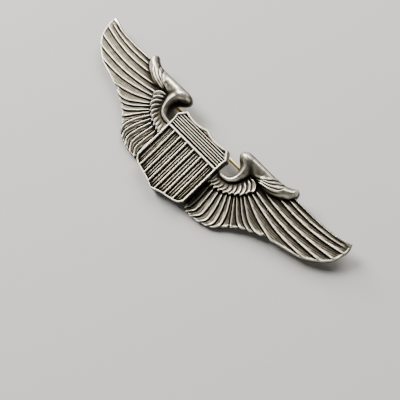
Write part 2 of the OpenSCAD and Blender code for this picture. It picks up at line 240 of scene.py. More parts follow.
class Grid:
    """Square cells that fill an outline; the cells at the rim are pulled onto the outline itself."""

    def __init__(self, depth, low, high, pitch):
        self.pitch = pitch
        self.shape = tuple(int(math.ceil((top - base) / pitch)) + 1 for base, top in zip(low, high))
        nx, ny = self.shape
        columns = low[0] + pitch * np.arange(nx)
        rows = low[1] + pitch * np.arange(ny)
        gx, gy = np.meshgrid(columns, rows, indexing="ij")
        self.lattice = np.stack([gx.ravel(), gy.ravel()], 1)
        value = depth(self.lattice)
        index = np.arange(nx * ny).reshape(nx, ny)
        corners = [index[:-1, :-1], index[1:, :-1], index[1:, 1:], index[:-1, 1:]]
        cells = np.stack(corners, -1).reshape(-1, 4)
        keep = (value[cells] > -RIM_OVERHANG * pitch).all(1)
        cells = self.without_pinches(cells[keep], len(self.lattice))
        self.used = np.unique(cells)
        renumber = np.full(len(self.lattice), -1)
        renumber[self.used] = np.arange(len(self.used))
        self.points = self.lattice[self.used].copy()
        self.cells = renumber[cells]
        self.loops = self.border_loops()
        rim = np.concatenate(self.loops)
        self.near = np.unique(self.cells[np.isin(self.cells, rim).any(1)].ravel())
        self.pull(depth, rim)
        self.relax(np.setdiff1d(self.near, rim))

    @staticmethod
    def cell_edges(cells):
        return np.concatenate([cells[:, [0, 1]], cells[:, [1, 2]], cells[:, [2, 3]], cells[:, [3, 0]]])

    def without_pinches(self, cells, count):
        """Drops cells that hang on by one side or touch at one corner, so every border is a simple loop."""
        while True:
            edges = np.sort(self.cell_edges(cells), axis=1)
            _, inverse, uses = np.unique(edges[:, 0].astype(np.int64) * count + edges[:, 1],
                                         return_inverse=True, return_counts=True)
            lone = uses[inverse] == 1
            at_corner = np.zeros(count, int)
            np.add.at(at_corner, edges[lone].ravel(), 1)
            bad = (at_corner > 2)[cells].any(1) | (lone.reshape(4, -1).sum(0) >= 3)
            if not bad.any():
                return cells
            cells = cells[~bad]

    def border_loops(self):
        """The borders as closed loops of points, in the direction of the cells' own edges."""
        pairs = set(map(tuple, self.cell_edges(self.cells).tolist()))
        following = {a: b for a, b in pairs if (b, a) not in pairs}
        loops = []
        while following:
            start = min(following)
            loop = [start]
            step = following.pop(start)
            while step != start:
                loop.append(step)
                step = following.pop(step)
            loops.append(np.array(loop))
        return loops

    def pull(self, depth, rim):
        """Moves the rim points onto the outline, where the depth is zero."""
        for _ in range(PULL_ROUNDS):
            edge = self.points[rim]
            slope = np.stack([depth(edge + [NUDGE, 0]) - depth(edge - [NUDGE, 0]),
                              depth(edge + [0, NUDGE]) - depth(edge - [0, NUDGE])], 1) / (2 * NUDGE)
            steepness = np.maximum((slope ** 2).sum(1), GENTLEST)
            move = -slope * (depth(edge) / steepness)[:, None]
            length = np.linalg.norm(move, axis=1)
            self.points[rim] = edge + move * np.minimum(1, self.pitch / np.maximum(length, TINY))[:, None]

    def relax(self, free):
        """Evens out the cells next to the rim after it has been pulled into place."""
        edges = self.cell_edges(self.cells)
        both = np.concatenate([edges, edges[:, ::-1]])
        for _ in range(RELAX_ROUNDS):
            total = np.zeros_like(self.points)
            count = np.zeros(len(self.points))
            np.add.at(total, both[:, 0], self.points[both[:, 1]])
            np.add.at(count, both[:, 0], 1)
            self.points[free] = (total / count[:, None])[free]

    def stands_out(self, heights, reach):
        """How far each point stands above (+) or below (-) the mean of its surroundings."""
        field = heights.reshape(self.shape)
        radius = max(1, int(round(reach / self.pitch)))
        mean = box_blur(box_blur(field, radius), radius)
        return (field - mean).ravel()[self.used]

    def surface(self, heights, relief):
        """Height at each point; the points near the rim, which have moved, get the exact relief."""
        z = heights[self.used]
        z[self.near] = relief(self.points[self.near])
        return z

    def slope(self, heights):
        """Steepness of the heights at each point."""
        across, upward = np.gradient(heights.reshape(self.shape), self.pitch)
        return np.hypot(across, upward).ravel()[self.used]


def zipper(upper, lower, place):
    """Triangles that join two loops of different length, taking the shorter diagonal at each step."""
    start = int(np.argmin(np.linalg.norm(place[lower] - place[upper[0]], axis=1)))
    lower = np.roll(lower, -start)
    faces = []
    i = 0
    j = 0
    while i < len(upper) or j < len(lower):
        a, b = upper[i % len(upper)], lower[j % len(lower)]
        a_next, b_next = upper[(i + 1) % len(upper)], lower[(j + 1) % len(lower)]
        up = np.linalg.norm(place[a_next] - place[b]) if i < len(upper) else np.inf
        down = np.linalg.norm(place[b_next] - place[a]) if j < len(lower) else np.inf
        if up <= down:
            faces.append((a, b, a_next))
            i += 1
        else:
            faces.append((a, b, b_next))
            j += 1
    return faces


# Oxide gathers where a point lies lower than its surroundings, and it wears off where a point stands out.
# Steep slopes and the broad hollows beside the tall ridges get painted shade as well as oxide, and the
# side walls get painted shade. The reaches are how far those surroundings go.
FINE_REACH = 0.35
BROAD_REACH = 1.0
BROAD_DARK = 0.16
BROAD_WORN = 0.1
# Painted shade, with some patina, in the broad hollows beside the tall ridges
SHADED_HOLLOW_REACH = 2.2
SHADED_HOLLOW_SHARE = 0.3
HOLLOW_SHADE_AND_PATINA = 0.2
# Painted shade, with some oxide, on steep slopes
SHADED_SLOPES = (1.0, 2.6)
STEEP_SHADE_AND_OXIDE = 0.19
# Painted shade on the side walls between the front and the back
WALL_PAINTED_SHADE = -0.1
BACK_CAVITY = 0.02

BACK_STEP = 3     # the back's cells are this many times coarser than the front's
WALL_LIFT = 0.1   # the wall aims this far above the back, which leaves a small bevel round the back


def patina_and_painted_shade(grid, heights):
    """Point values for the front's colour: below zero where oxide and painted shade darken it and above
    zero where it is rubbed bright.
    """
    # painted shade, with some patina, in the broad hollows beside the tall ridges
    hollow = np.clip(SHADED_HOLLOW_SHARE * grid.stands_out(heights, SHADED_HOLLOW_REACH), -HOLLOW_SHADE_AND_PATINA, 0)
    # broad holds wear and oxide, and also the painted shade of the hollows and the steep slopes
    broad = np.clip(grid.stands_out(heights, BROAD_REACH), -BROAD_DARK, BROAD_WORN) + hollow
    # painted shade, with some oxide, on steep slopes
    steep = STEEP_SHADE_AND_OXIDE * ramp(grid.slope(heights), *SHADED_SLOPES)
    return {"cavity": grid.stands_out(heights, FINE_REACH), "broad": broad - steep}


def relief_plate(plate, low, high, pitch, wall_rows=4):
    """Points, faces and point values of a closed plate: fine in front, coarse at the back, a wall between.

    plate has depth(points), positive inside the outline, relief(points), the front's height,
    bottom(points), the back's height, and drop(points), how far the whole plate is bent back."""
    fine = Grid(plate.depth, low, high, pitch)
    coarse = Grid(plate.depth, low, high, pitch * BACK_STEP)
    heights = softened(plate.relief(fine.lattice).reshape(fine.shape)).ravel()
    z_top = fine.surface(heights, plate.relief)
    places = [np.column_stack([fine.points, z_top - plate.drop(fine.points)])]
    faces = [tuple(cell) for cell in fine.cells.tolist()]
    plain = []
    count = len(fine.points)
    rings = []
    for loop in fine.loops:
        ring = loop
        edge = fine.points[loop]
        bent = plate.drop(edge)
        for row in range(1, wall_rows):
            share = row / wall_rows
            z = z_top[loop] * (1 - share) + (plate.bottom(edge) + WALL_LIFT) * share - bent
            places.append(np.column_stack([edge, z]))
            # the wall rows get the painted shade value
            plain.append(np.full(len(loop), WALL_PAINTED_SHADE))
            lower = np.arange(count, count + len(loop))
            count += len(loop)
            faces += zip(ring, lower, np.roll(lower, -1), np.roll(ring, -1))
            ring = lower
        rings.append(ring)
    places.append(np.column_stack([coarse.points, plate.bottom(coarse.points) - plate.drop(coarse.points)]))
    plain.append(np.full(len(coarse.points), BACK_CAVITY))
    faces += [tuple(v + count for v in reversed(cell)) for cell in coarse.cells.tolist()]
    place = np.concatenate(places)
    for ring in rings:
        middle = place[ring].mean(0)
        loop = min(coarse.loops, key=lambda rim: np.linalg.norm(coarse.points[rim].mean(0) - middle[:2]))
        faces += zipper(ring, loop + count, place)
    values = {key: np.concatenate([front, *plain]) for key, front in patina_and_painted_shade(fine, heights).items()}
    return place, faces, values


def new_piece(name, place, faces, values, mirrored=False):
    """Mesh object from badge-plane points; a mirrored one is the other wing."""
    if mirrored:
        place = place * [-1, 1, 1]
        faces = [tuple(reversed(face)) for face in faces]
    mesh = bpy.data.meshes.new(name)
    mesh.from_pydata(place.tolist(), [], [tuple(int(v) for v in face) for face in faces])
    for key, data in values.items():
        layer = mesh.attributes.new(key, "FLOAT", "POINT")
        layer.data.foreach_set("value", data.astype(np.float32))
    mesh.transform(BADGE)
    bm = bmesh.new()
    bm.from_mesh(mesh)
    bmesh.ops.recalc_face_normals(bm, faces=bm.faces)
    bm.to_mesh(mesh)
    bm.free()
    mesh.polygons.foreach_set("use_smooth", [True] * len(mesh.polygons))
    piece = bpy.data.objects.new(name, mesh)
    bpy.context.scene.collection.objects.link(piece)
    return piece


# ---------------------------------------------------------------- the wing's plan
TOP_EDGE = [(9.0, 10.2), (9.8, 10.5), (12, 10.55), (15, 10.5), (18, 10.5), (20, 10.7), (21.5, 11.3),
            (22.4, 11.95)]
COVERT_STEP = [(22.4, 11.95), (23.1, 11.7), (23.5, 10.9), (23.4, 10.3)]
LEADING_EDGE = [(23.4, 10.3), (26, 10.3), (30, 10.35), (33, 10.5), (35, 10.85), (38.1, 11.75)]
TIP_EDGE = [(38.1, 11.75), (38.45, 10.9), (38.6, 10), (38.55, 9.3), (38.35, 8.6), (38.1, 7.4), (37.8, 6.6),
            (37.0, 5.5), (36, 4.5), (34.8, 3.6), (33.2, 2.55), (31, 1.55), (28.5, 0.8), (25.5, 0.4),
            (24.1, 0.25)]
WING_TIP = np.array([38.2, 11.2])
TRAILING_EDGE = [(24.1, 0.25), (23.5, -0.45), (21.9, -1.15), (21.2, -1.5), (19.8, -2.2), (18.5, -3.3),
                 (17.2, -4.4), (16.2, -5.5), (15.0, -6.6), (13.6, -7.25), (12.2, -7.7), (10.2, -8.05),
                 (8.4, -8.0)]
TONGUE = [(8.4, -8.0), (7.64, -7.2), (0.05, -7.2), (0.05, 2.4), (7.64, 2.4), (7.68, 3.2)]
ROOT_EDGE = [(8.3, 3.35), (9.3, 3.45), (10.1, 3.9), (10.55, 4.6), (10.7, 5.4), (10.5, 6.3), (9.9, 7.1),
             (9.1, 7.75), (8.45, 8.4), (8.2, 9.1), (8.4, 9.75), (9.0, 10.2)]

PRIMARY_GROOVES = [
    [(23.3, 9.7), (27, 9.65), (31, 9.75), (35, 10.1), (38.7, 10.9)],
    [(22.9, 8.7), (27, 8.5), (30, 8.6), (34, 9.05), (38.9, 10.1)],
    [(21.1, 7.5), (25, 7.2), (29, 7.2), (34, 7.75), (38.9, 8.8)],
    [(18.6, 6.2), (22, 5.7), (27, 5.4), (33, 5.75), (38.4, 6.5)],
    [(17, 5), (21, 4.3), (26, 3.85), (31, 3.9), (36.6, 4.3)],
    [(16.6, 4.1), (20, 3.2), (25, 2.3), (29, 2.15), (33.4, 2.3)],
    [(16.1, 3.2), (18, 2.3), (20, 1.5), (22, 0.9), (24.3, 0.4)]]
# The first four short feathers overlap like the long ones; the others overlap the opposite way.
LOWER_RIMS = [
    [(16.1, 2.4), (18, 1.1), (20, -0.1), (22, -0.6), (23.6, -0.3)],
    [(16, 1.5), (18, -0.1), (19.8, -1.1), (21.4, -1.4)],
    [(15.2, 0.9), (17, -0.8), (18.6, -2), (19.6, -2.2)],
    [(15, 0.1), (16.2, -1.4), (17.3, -2.8), (18, -3.6)]]
INNER_RIMS = [
    [(14.1, 0.1), (15.2, -1.6), (16.0, -3.4), (16.25, -4.8), (15.8, -5.75)],
    [(13.2, -0.4), (14.1, -2.2), (14.8, -4.2), (14.95, -5.7), (14.3, -6.85)],
    [(12.2, -0.8), (12.9, -2.8), (13.4, -5.0), (13.3, -6.4), (12.35, -7.6)],
    [(11.1, -1.0), (11.55, -3.2), (11.8, -5.2), (11.6, -6.5), (10.4, -7.85)],
    [(9.8, -1.2), (10.05, -3.2), (10.2, -5.2), (10.1, -6.5), (8.9, -8.0)],
    [(8.6, -1.4), (8.8, -3.5), (8.8, -5.5), (8.6, -6.8), (7.9, -7.8)]]
RIM_OFFSET = 0.32      # a long feather's rim runs this far beside its groove's line

# Small coverts from the shoulder round to the shield, each drawn by its raised outer rim
COVERT_RIMS = [
    [(13.7, 6.9), (14.8, 6.95), (15.8, 6.5), (16.4, 5.7), (16.45, 5.0)],
    [(13.9, 6.1), (14.8, 5.7), (15.4, 5.1), (15.75, 4.4), (15.7, 3.7)],
    [(13.8, 5.1), (14.6, 4.6), (15.0, 3.9), (15.15, 3.1), (15.0, 2.55)],
    [(13.4, 4.2), (14.1, 3.5), (14.35, 2.6), (14.1, 1.75)],
    [(12.8, 3.5), (13.3, 2.6), (13.4, 1.8), (13.1, 1.0)],
    [(12.1, 2.9), (12.5, 2.0), (12.4, 1.1), (11.95, 0.25)],
    [(11.3, 2.6), (11.5, 1.6), (11.3, 0.7), (10.8, -0.2)],
    [(10.4, 2.4), (10.5, 1.4), (10.2, 0.4), (9.7, -0.5)],
    [(9.6, 2.3), (9.5, 1.2), (9.2, 0.2), (8.75, -0.65)],
    [(8.7, 2.2), (8.6, 1.2), (8.2, 0.2), (7.7, -0.5)]]
SCALLOP = 0.22                 # how far a covert's tip stands out of the crescent
COVERTS_AT_SHIELD = (7.5, 2.6)
COVERTS_AT_ARM = (12.4, 7.3)
COVERTS_TOP_Y = 8.6

HOOK_LINE = smooth([(7.2, 2.75), (8.4, 2.9), (9.7, 2.95), (10.8, 3.35), (11.5, 4.2), (11.8, 5.3),
                    (11.8, 6.4), (11.6, 7.4), (11.1, 8.3), (10.5, 9.0), (10.0, 9.4)])
ARM_LINE = smooth([(10.4, 9.45), (12, 9.6), (15, 9.7), (18, 9.85)])
KNOB_AT = np.array([10.6, 9.1])

SHOULDER_EDGE = smooth([(13.2, 7.3), (15, 7), (17, 6.85), (18.5, 6.9), (20, 7.4), (21.5, 8.2), (22.7, 9.1),
                        (23.4, 10.3)])
SHOULDER_ROOT = [(12.6, 10.2), (12.4, 8.4)]
SHOULDER_TOP_X = 13.9
SHOULDER_RIMS = [
    [(14.0, 7.65), (15.2, 7.95), (16.2, 8.4), (17.0, 9.0), (17.7, 9.8)],
    [(15.4, 7.85), (17.0, 8.4), (18.1, 9.0), (19.0, 9.8)],
    [(15.8, 7.55), (17.6, 8.0), (18.9, 8.6), (19.9, 9.3), (20.4, 9.9)],
    [(16.4, 7.3), (18.3, 7.6), (19.6, 8.1), (20.6, 8.9), (21.3, 9.8)]]


def wing_outline():
    curves = [smooth(run)[:-1] for run in (TOP_EDGE, COVERT_STEP, LEADING_EDGE, TIP_EDGE, TRAILING_EDGE)]
    return np.vstack([*curves, np.array(TONGUE), smooth(ROOT_EDGE)[:-1]])


def dividing(lists, groove_side, offset=0.0, before=4.0, after=3.0):
    """Dividing lines of overlapping feathers: curve, side of its groove, and its rim's offset from it."""
    return [(extended(smooth(points, steps=4), before, after), groove_side, offset) for points in lists]


OUTLINE = wing_outline()
FLIGHT = [*dividing(PRIMARY_GROOVES, 1, offset=RIM_OFFSET, before=6), *dividing(LOWER_RIMS, 1),
          *dividing(INNER_RIMS, -1)]
COVERTS = dividing(COVERT_RIMS, -1, before=2, after=0.5)
SHOULDERS = dividing(SHOULDER_RIMS, 1, before=1.5, after=2)


def covert_outline():
    """The coverts' edge, one round scallop for each feather, closed round the foot of the hooked ridge."""
    first = smooth(COVERT_RIMS[0])
    edge = []
    for points in COVERT_RIMS[1:]:
        curve = smooth(points)
        tip = curve[-1]
        way = unit(tip - curve[-3])
        edge += [curve[-STEPS], tip, tip + SCALLOP * (way + right_of(way))]
    scallops = smooth(np.vstack([first[-1:], edge]), steps=3)
    hook_side = HOOK_LINE[(HOOK_LINE[:, 0] > COVERTS_AT_SHIELD[0]) & (HOOK_LINE[:, 1] < COVERTS_TOP_Y)]
    return np.vstack([first[:-1], scallops, [COVERTS_AT_SHIELD], hook_side, [COVERTS_AT_ARM]])


def shoulder_outline():
    """The edge of the feathers under the arm and of the covert tip, closed under the arm."""
    top = smooth(TOP_EDGE)[::-1]
    return np.vstack([SHOULDER_EDGE[:-1], smooth(COVERT_STEP)[::-1][:-1], top[top[:, 0] > SHOULDER_TOP_X],
                      SHOULDER_ROOT])


COVERT_OUTLINE = covert_outline()
SHOULDER_OUTLINE = shoulder_outline()

NOTCH_L = 0.3
NOTCH_W = 0.2         # half width of a notch where the outline would be without it
NOTCH_WIDENING = 4    # the notch stops widening at this many times its length
NOTCH_ASIDE = 0.3     # from the feather's rim to the middle of its notch


def notches():
    """Place and way out of each notch in the outline, where a short feather's groove leaves the wing."""
    found = []
    for curve, groove_side, offset in FLIGHT[len(PRIMARY_GROOVES):]:
        value = depth_inside(curve, OUTLINE)
        last = np.nonzero(value > 0)[0][-1]
        way = unit(curve[last] - curve[last - 1])
        aside = right_of(way) * groove_side * (NOTCH_ASIDE - offset)
        found.append((curve[last] + aside + way * value[last], way))
    return found


NOTCHES = notches()


# ---------------------------------------------------------------- the wing's relief
# A feather's section, for distances across its dividing line: its groove is on the positive side
NARROWEST = 0.45          # a narrow feather's section is squeezed, at most to this share of the full width
VANE_SPAN = 0.9           # share of the width over which the vane rises to its rim
VANE_POWER = 1.4
RIM_AT = -0.11
RIM_W = 0.25
GROOVE_AT = 0.2
GROOVE_W = 0.1
GROOVE_MIN_W = 0.085      # the narrowest groove that the grid can hold
LINE_AT = -0.62           # a second, faint line beside the rim
LINE_W = 0.09
LINE_SHARE = 0.25
BARBED_FROM = (0.25, 0.45)
BARB_PITCH = 0.4
BARB_SLANT = 0.1

FAR_BELOW = -1.0          # height of a part of the relief outside its own edge


def overlapping(points, rims, full_width, tilt, rim_h, groove_h, barb_h=0.0):
    """Height of feathers that overlap like slates.

    Every feather is low on one side and rises to a raised rim on the other, with a groove just past it. The
    vane between them is hatched with fine barb lines that run nearly along the feather."""
    pairs = [signed(points, curve) for curve, _, _ in rims]
    offsets = np.array([offset for _, _, offset in rims])[:, None]
    distances = np.array([pair[0] for pair in pairs]) + offsets
    place = np.array([pair[1] for pair in pairs])
    sides = np.array([side for _, side, _ in rims])
    passed = distances > 0
    count = len(rims)
    index = np.where(passed.all(0), count, np.argmin(passed, axis=0))
    rows = np.arange(len(points))
    above = np.maximum(index - 1, 0)
    under = np.minimum(index, count - 1)
    before = np.where(index > 0, distances[above, rows], full_width)
    after = np.where(index < count, -distances[under, rows], full_width)
    squeeze = np.clip((before + after) / full_width, NARROWEST, 1.0)
    groove_w = np.maximum(GROOVE_W * squeeze, GROOVE_MIN_W)
    z = np.zeros(len(points))
    for across in (before * np.where(index > 0, sides[above], 1),
                   -after * np.where(index < count, sides[under], 1)):
        rise = np.clip(1 + across / (full_width * VANE_SPAN * squeeze), 0, 1) ** VANE_POWER
        z += np.where(across < 0, tilt * rise, 0)
        rim = rim_h * bump_at(across, RIM_AT, RIM_W * squeeze)
        groove = groove_h * bump_at(across, GROOVE_AT * squeeze, groove_w)
        z += rim - groove
        z -= LINE_SHARE * rim_h * bump_at(across, LINE_AT * squeeze, LINE_W * squeeze)
    barb = before + BARB_SLANT * place[under, rows]
    vane = ramp(np.minimum(before, after), *BARBED_FROM)
    return z + barb_h * vane * np.sin(barb * 2 * math.pi / BARB_PITCH)


COVERT_FOOT_Z = 0.35
COVERT_RISE = 0.3
COVERT_RISE_FROM = (0.9, 3.1)     # distances from the hooked ridge's line
COVERT_RELIEF_FROM = (0.9, 2.3)
COVERT_BEAD = 0.08
COVERT_BEAD_AT = 0.22
COVERT_BEAD_W = 0.15
COVERT_EDGE_Z = -0.1
COVERT_EDGE_RAMP = (-0.03, 0.22)


def covert_band(points):
    """The crescent of small feathers that grows out of the hollow behind the hooked ridge."""
    depth = depth_inside(points, COVERT_OUTLINE)
    from_hook, _, _ = along(points, HOOK_LINE)
    z = overlapping(points, COVERTS, full_width=0.95, tilt=0.2, rim_h=0.08, groove_h=0.18)
    z *= ramp(from_hook, *COVERT_RELIEF_FROM)
    z += COVERT_FOOT_Z + COVERT_RISE * ramp(from_hook, *COVERT_RISE_FROM)
    z += COVERT_BEAD * bump_at(depth, COVERT_BEAD_AT, COVERT_BEAD_W)
    edged = COVERT_EDGE_Z + (z - COVERT_EDGE_Z) * ramp(depth, *COVERT_EDGE_RAMP)
    return np.where(depth > 0, edged, FAR_BELOW)


# Crests and reaches of the round forms, as (distance along the line, value)
HOOK_HEIGHTS = ((0, 0.9), (2, 1.15), (3.5, 1.4), (5.5, 1.7), (7.5, 2.1), (9, 2.4), (11, 2.4))
HOOK_REACH = ((0, 0.6), (4, 0.75), (6, 1.15), (8, 2.0), (10.5, 2.5))
HOOK_POWER = 2.2
HOOK_EDGE_W = 0.9
HOOK_EDGE_FOOT = 0.05
HOOK_BASE_Z = -0.3
ARM_HEIGHTS = ((0, 2.5), (2, 2.3), (4.5, 1.95), (7.5, 1.3))
ARM_REACH = ((0, 2.4), (2, 2.7), (5, 2.4), (7.5, 1.8))
ARM_POWER = 2.2
ARM_EDGE_FOOT = 0.1
ARM_FOOT_Z = 0.35


def share_to_crest(edge, distance):
    """0 at the outline and 1 on the crest's line, from the distances to both."""
    return edge / np.maximum(edge + distance, 1e-6)


def hook(points, edge):
    """Height of the ridge round the notch beside the shield, and the points on its steep notch side."""
    distance, side, place = along(points, HOOK_LINE)
    crest = height_along(place, HOOK_HEIGHTS)
    inner = crest * swelling(share_to_crest(edge, distance), HOOK_EDGE_FOOT)
    fall = np.exp(-(distance / height_along(place, HOOK_REACH)) ** HOOK_POWER)
    outer = (crest - HOOK_BASE_Z) * fall + HOOK_BASE_Z
    outer *= swelling(edge / HOOK_EDGE_W, HOOK_EDGE_FOOT)
    return np.where(side < 0, inner, outer), side < 0


def arm(points, edge):
    """Smooth round limb along the top edge, from the knob to the covert tip."""
    distance, side, place = along(points, ARM_LINE)
    crest = height_along(place, ARM_HEIGHTS)
    above = crest * swelling(share_to_crest(edge, distance), ARM_EDGE_FOOT)
    reach = distance / height_along(place, ARM_REACH)
    below = ARM_FOOT_Z + (crest - ARM_FOOT_Z) * (1 - reach ** ARM_POWER)
    return np.where(side < 0, above, np.where(reach < 1, below, FAR_BELOW))


KNOB_RADII = (2.8, 2.0)
KNOB_HEIGHT = 2.65
KNOB_POWER = 2.5
KNOB_EDGE_W = 1.1
KNOB_EDGE_FOOT = 0.1


def knob(points, edge):
    """Rounded dome where the hooked ridge and the arm meet."""
    reach = np.linalg.norm((points - KNOB_AT) / KNOB_RADII, axis=1)
    return KNOB_HEIGHT * (1 - reach ** KNOB_POWER) * swelling(edge / KNOB_EDGE_W, KNOB_EDGE_FOOT)


SHOULDER_BASE_Z = 0.25
SHOULDER_HEIGHT = 1.2
SHOULDER_EXTRA = 0.25               # added away from the lower edge
SHOULDER_EXTRA_FROM = (0.6, 2.0)
SHOULDER_EDGE_W = 1.2
SHOULDER_ROOT_Z = -0.3
SHOULDER_RISE_X = (13.4, 16.0)      # where the body rises out of the wing
SHOULDER_RELIEF_X = (13.6, 15.0)    # where its feathers' relief begins
SHOULDER_PLAIN_X = (19.8, 21.0)     # where it fades into the smooth covert tip


def shoulder(points):
    """The pointed feathers under the arm and the covert tip: their body's height and their own relief."""
    depth = depth_inside(points, SHOULDER_OUTLINE)
    lower_edge, _, _ = along(points, SHOULDER_EDGE)
    x = points[:, 0]
    height = SHOULDER_HEIGHT + SHOULDER_EXTRA * ramp(lower_edge, *SHOULDER_EXTRA_FROM)
    body = SHOULDER_BASE_Z + height * swelling(depth / SHOULDER_EDGE_W)
    body = (body - SHOULDER_ROOT_Z) * ramp(x, *SHOULDER_RISE_X) + SHOULDER_ROOT_Z
    feathers = overlapping(points, SHOULDERS, full_width=0.8, tilt=0.08, rim_h=0.15, groove_h=0.2)
    feathers *= ramp(x, *SHOULDER_RELIEF_X) * (1 - ramp(x, *SHOULDER_PLAIN_X))
    return np.where(depth > 0, body, FAR_BELOW), np.where(depth > 0, feathers, 0.0)


ARM_BLEND = 0.6
SHOULDER_BLEND = 0.25
KNOB_BLEND = 0.5
NOTCH_SIDE_X = 12.5     # the notch beside the shield ends before this


def limb(points, edge):
    """The hooked ridge, the knob, the arm and the shoulder as one smooth form."""
    ridge_z, in_notch = hook(points, edge)
    body, feathers = shoulder(points)
    outside = soft_max(soft_max(ridge_z, arm(points, edge), ARM_BLEND), body, SHOULDER_BLEND) + feathers
    z = np.where(in_notch & (points[:, 0] < NOTCH_SIDE_X), ridge_z, outside)
    return soft_max(z, knob(points, edge), KNOB_BLEND)


SEAM_X = 7.64                 # the shield covers the wing from here inwards
SEAT_Z = -0.2
PAD_AT = np.array([14.0, 6.8])
PAD_R = 2.6
FACE_Z = -0.16
BEAD_H = 0.11                 # the raised edge all round the wing
BEAD_AT = 0.24
BEAD_W = 0.18
PLAIN_H = 0.12                # the relief fades into plain metal along the outer edge and at the tip
PLAIN_FROM_X = (25, 31)
PLAIN_EDGE = (0.1, 0.8)
PLAIN_TIP = (0.8, 2.6)
LIMB_MAX_X = 15.5             # below LIMB_MIN_Y the limb reaches no further out than this
LIMB_MIN_Y = 6.5
LIMB_BLEND = 0.1
EDGE_ROUND = 0.2              # height and width of the rounding at the outline


class Wing:
    """The right wing; the left one is its mirror image."""

    @staticmethod
    def depth(points):
        value = depth_inside(points, OUTLINE)
        for place, way in NOTCHES:
            offsets = points - place
            out = offsets @ way
            half_w = NOTCH_W * np.sqrt(np.clip((out + NOTCH_L) / NOTCH_L, 0, NOTCH_WIDENING))
            open_side = np.maximum(np.abs(cross(offsets, way)) - half_w, -NOTCH_L - out)
            value = np.where(out > -2 * NOTCH_L, np.minimum(value, open_side), value)
        return value

    @staticmethod
    def drop(points):
        return bend_drop(points[:, 0])

    @staticmethod
    def bottom(points):
        """Level in the unbent wing, apart from the flat pad that carries the hinge or the catch."""
        z = np.full(len(points), -WING_T)
        on_pad = np.linalg.norm(points - PAD_AT, axis=1) < PAD_R
        pad_back = WING_T + bend_drop(PAD_AT[0] + PAD_R)
        return np.where(on_pad, np.minimum(z, bend_drop(points[:, 0]) - pad_back), z)

    def relief(self, points):
        edge = self.depth(points)
        x, y = points[:, 0], points[:, 1]
        near_edge = ramp(x, *PLAIN_FROM_X) * (1 - ramp(edge, *PLAIN_EDGE))
        near_tip = 1 - ramp(np.linalg.norm(points - WING_TIP, axis=1), *PLAIN_TIP)
        plain = np.maximum(near_edge, near_tip)
        z = overlapping(points, FLIGHT, full_width=1.35, tilt=0.30, rim_h=0.12, groove_h=0.21, barb_h=0.05)
        z = z * (1 - plain) + PLAIN_H * plain
        z += BEAD_H * bump_at(edge, BEAD_AT, BEAD_W) + FACE_Z
        limb_z = np.where((x < LIMB_MAX_X) | (y > LIMB_MIN_Y), limb(points, edge), FAR_BELOW)
        z = soft_max(z, np.maximum(covert_band(points), limb_z), LIMB_BLEND)
        z -= EDGE_ROUND * (1 - rounded(edge / EDGE_ROUND))
        return np.where(x < SEAM_X, SEAT_Z, z)


# ---------------------------------------------------------------- the shield's relief
SHIELD_HALF_W = 7.6
SHIELD_H = 2.3
SHIELD_SIDE = [
    [(0, 7.6), (1.6, 7.15), (3.3, 6.95), (5, 7.1), (6.4, 7.45)],
    [(7.9, 5.6), (7.65, 4.6), (7.6, 3)],
    [(7.6, 2.3), (7.6, -6.3), (7.4, -7.1), (6.85, -7.8), (6.0, -8.25)],
    [(6.0, -8.25), (4.2, -8.7), (2.2, -9.15), (0.9, -9.65), (0, -10)]]
SHIELD_RIM = 0.55             # from the side of the shield to the first bay between the bars
FIELD_DEPTH = 0.6
CROSSBAR_Y = (2.35, 2.95)
CROSSBAR_HALF_W = 0.38
CHIEF_TOP_Y = 6.75
CHIEF_LINES = 6
CHIEF_LINE_HALF_W = 0.18
CHIEF_LINE_H = 0.5
BARS = (-5.4, -3.45, -1.4, 0.85, 3.2, 5.4)
BAR_HALF_W = 0.27
BAR_H = 0.6
THIN_SHARES = (0.36, 0.64)    # where the two thin lines stand in each bay
THIN_HALF_W = 0.15
THIN_H = 0.2
PEAK_H = 0.4                  # the raised corner over the middle of the chief
PEAK_Y = (6.45, 6.6)
PEAK_HALF_W = 1.6
BORDER_W = 0.42
TOP_BORDER_W = 0.62
TOP_BORDER_Y = 5.5
BORDER_SPREAD = 0.06
SHIELD_EDGE_H = 0.12          # height and width of the rounding at the outline
SHIELD_EDGE_W = 0.15


def shield_outline():
    side = np.vstack([smooth(run) for run in SHIELD_SIDE])
    return np.vstack([side, (side * [-1, 1])[::-1][1:-1]])


SHIELD_OUTLINE = shield_outline()


def ridge(offset, half_w, height):
    """Rounded bar of the given half width at offset 0."""
    return height * rounded(1 - np.abs(offset) / half_w)


def chief_lines(y):
    """The fine level lines above the crossbar."""
    base = CROSSBAR_Y[1]
    pitch = (CHIEF_TOP_Y - base) / (CHIEF_LINES + 1)
    return np.maximum.reduce([ridge(y - base - i * pitch, CHIEF_LINE_HALF_W, CHIEF_LINE_H)
                              for i in range(1, CHIEF_LINES + 1)])


def bars(x):
    """The broad upright bars and the two thin lines in every bay between them."""
    ridges = [ridge(x - bar, BAR_HALF_W, BAR_H) for bar in BARS]
    posts = (-SHIELD_HALF_W + SHIELD_RIM, *BARS, SHIELD_HALF_W - SHIELD_RIM)
    for left, right in zip(posts, posts[1:]):
        for share in THIN_SHARES:
            ridges.append(ridge(x - left - share * (right - left), THIN_HALF_W, THIN_H))
    return np.maximum.reduce(ridges)


